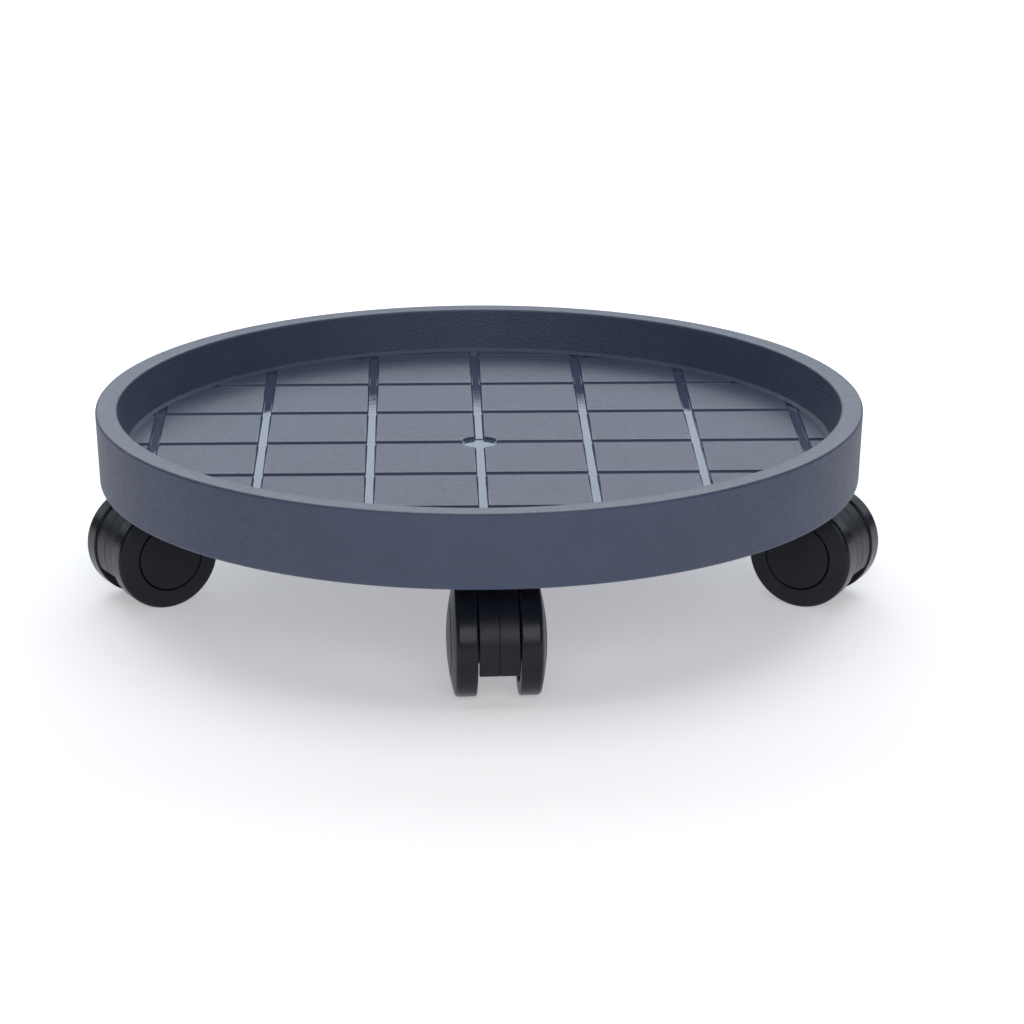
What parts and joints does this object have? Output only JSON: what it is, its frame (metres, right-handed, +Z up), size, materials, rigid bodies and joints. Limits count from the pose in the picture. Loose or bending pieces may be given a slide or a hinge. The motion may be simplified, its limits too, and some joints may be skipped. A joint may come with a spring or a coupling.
{
  "type": "plant pot caddy",
  "caption": "Round dished plant pot caddy: a shallow moulded tray with square drainage channels in its floor, carried on swivelling double-wheel casters.",
  "frame": {"origin": "on the ground, under the middle of the tray", "axes": "+Z up; -Y towards the front caster; +X to the right, seen from the front"},
  "size_m": [0.4048, 0.39, 0.1],
  "materials": {
    "tray_plastic": "slate blue-grey moulded plastic with a fine pebbled grain",
    "wheel_plastic": "black moulded wheel, satin tread",
    "cap_plastic": "black moulded cap, satin",
    "hood_plastic": "black moulded hood, satin",
    "zinc_plate": "bright zinc plating",
    "steel": "plain drawn steel",
    "nylon": "natural nylon"
  },
  "bodies": {
    "tray": {"tray": "tray_plastic", "front_caster_plate": "zinc_plate", "front_king_pin": "steel", "front_pin_retainer": "steel", "front_plate_screw_1": "zinc_plate", "front_plate_screw_2": "zinc_plate", "front_plate_screw_3": "zinc_plate", "front_plate_screw_4": "zinc_plate", "right_caster_plate": "zinc_plate", "right_king_pin": "steel", "right_pin_retainer": "steel", "right_plate_screw_1": "zinc_plate", "right_plate_screw_2": "zinc_plate", "right_plate_screw_3": "zinc_plate", "right_plate_screw_4": "zinc_plate", "back_caster_plate": "zinc_plate", "back_king_pin": "steel", "back_pin_retainer": "steel", "back_plate_screw_1": "zinc_plate", "back_plate_screw_2": "zinc_plate", "back_plate_screw_3": "zinc_plate", "back_plate_screw_4": "zinc_plate", "left_caster_plate": "zinc_plate", "left_king_pin": "steel", "left_pin_retainer": "steel", "left_plate_screw_1": "zinc_plate", "left_plate_screw_2": "zinc_plate", "left_plate_screw_3": "zinc_plate", "left_plate_screw_4": "zinc_plate"},
    "front_swivel": {"front_swivel_washer": "nylon", "front_caster_hood": "hood_plastic", "front_axle": "steel"},
    "front_roller_a": {"front_wheel_a": "wheel_plastic", "front_hub_cap_a": "cap_plastic"},
    "front_roller_b": {"front_wheel_b": "wheel_plastic", "front_hub_cap_b": "cap_plastic"},
    "right_swivel": {"right_swivel_washer": "nylon", "right_caster_hood": "hood_plastic", "right_axle": "steel"},
    "right_roller_a": {"right_wheel_a": "wheel_plastic", "right_hub_cap_a": "cap_plastic"},
    "right_roller_b": {"right_wheel_b": "wheel_plastic", "right_hub_cap_b": "cap_plastic"},
    "back_swivel": {"back_swivel_washer": "nylon", "back_caster_hood": "hood_plastic", "back_axle": "steel"},
    "back_roller_a": {"back_wheel_a": "wheel_plastic", "back_hub_cap_a": "cap_plastic"},
    "back_roller_b": {"back_wheel_b": "wheel_plastic", "back_hub_cap_b": "cap_plastic"},
    "left_swivel": {"left_swivel_washer": "nylon", "left_caster_hood": "hood_plastic", "left_axle": "steel"},
    "left_roller_a": {"left_wheel_a": "wheel_plastic", "left_hub_cap_a": "cap_plastic"},
    "left_roller_b": {"left_wheel_b": "wheel_plastic", "left_hub_cap_b": "cap_plastic"}
  },
  "joints": [
    {"name": "front_swivel_turn", "type": "hinge", "parent": "tray", "child": "front_swivel", "pos_m": [0.004, -0.138, 0.061], "axis": [0, 0, 1], "continuous": true},
    {"name": "front_roller_a_spin", "type": "hinge", "parent": "front_swivel", "child": "front_roller_a", "pos_m": [0.005, -0.15998, 0.0275], "axis": [0.999, 0.0454, 0], "continuous": true},
    {"name": "front_roller_b_spin", "type": "hinge", "parent": "front_swivel", "child": "front_roller_b", "pos_m": [0.005, -0.15998, 0.0275], "axis": [0.999, 0.0454, 0], "continuous": true},
    {"name": "right_swivel_turn", "type": "hinge", "parent": "tray", "child": "right_swivel", "pos_m": [0.1515, -0.0115, 0.061], "axis": [0, 0, 1], "continuous": true},
    {"name": "right_roller_a_spin", "type": "hinge", "parent": "right_swivel", "child": "right_roller_a", "pos_m": [0.17074, -0.02217, 0.0275], "axis": [0.4848, 0.8746, 0], "continuous": true},
    {"name": "right_roller_b_spin", "type": "hinge", "parent": "right_swivel", "child": "right_roller_b", "pos_m": [0.17074, -0.02217, 0.0275], "axis": [0.4848, 0.8746, 0], "continuous": true},
    {"name": "back_swivel_turn", "type": "hinge", "parent": "tray", "child": "back_swivel", "pos_m": [-0.004, 0.138, 0.061], "axis": [0, 0, 1], "continuous": true},
    {"name": "back_roller_a_spin", "type": "hinge", "parent": "back_swivel", "child": "back_roller_a", "pos_m": [-0.005, 0.15998, 0.0275], "axis": [-0.999, -0.0454, 0], "continuous": true},
    {"name": "back_roller_b_spin", "type": "hinge", "parent": "back_swivel", "child": "back_roller_b", "pos_m": [-0.005, 0.15998, 0.0275], "axis": [-0.999, -0.0454, 0], "continuous": true},
    {"name": "left_swivel_turn", "type": "hinge", "parent": "tray", "child": "left_swivel", "pos_m": [-0.1485, -0.004, 0.061], "axis": [0, 0, 1], "continuous": true},
    {"name": "left_roller_a_spin", "type": "hinge", "parent": "left_swivel", "child": "left_roller_a", "pos_m": [-0.16774, -0.01467, 0.0275], "axis": [0.4848, -0.8746, 0], "continuous": true},
    {"name": "left_roller_b_spin", "type": "hinge", "parent": "left_swivel", "child": "left_roller_b", "pos_m": [-0.16774, -0.01467, 0.0275], "axis": [0.4848, -0.8746, 0], "continuous": true}
  ]
}
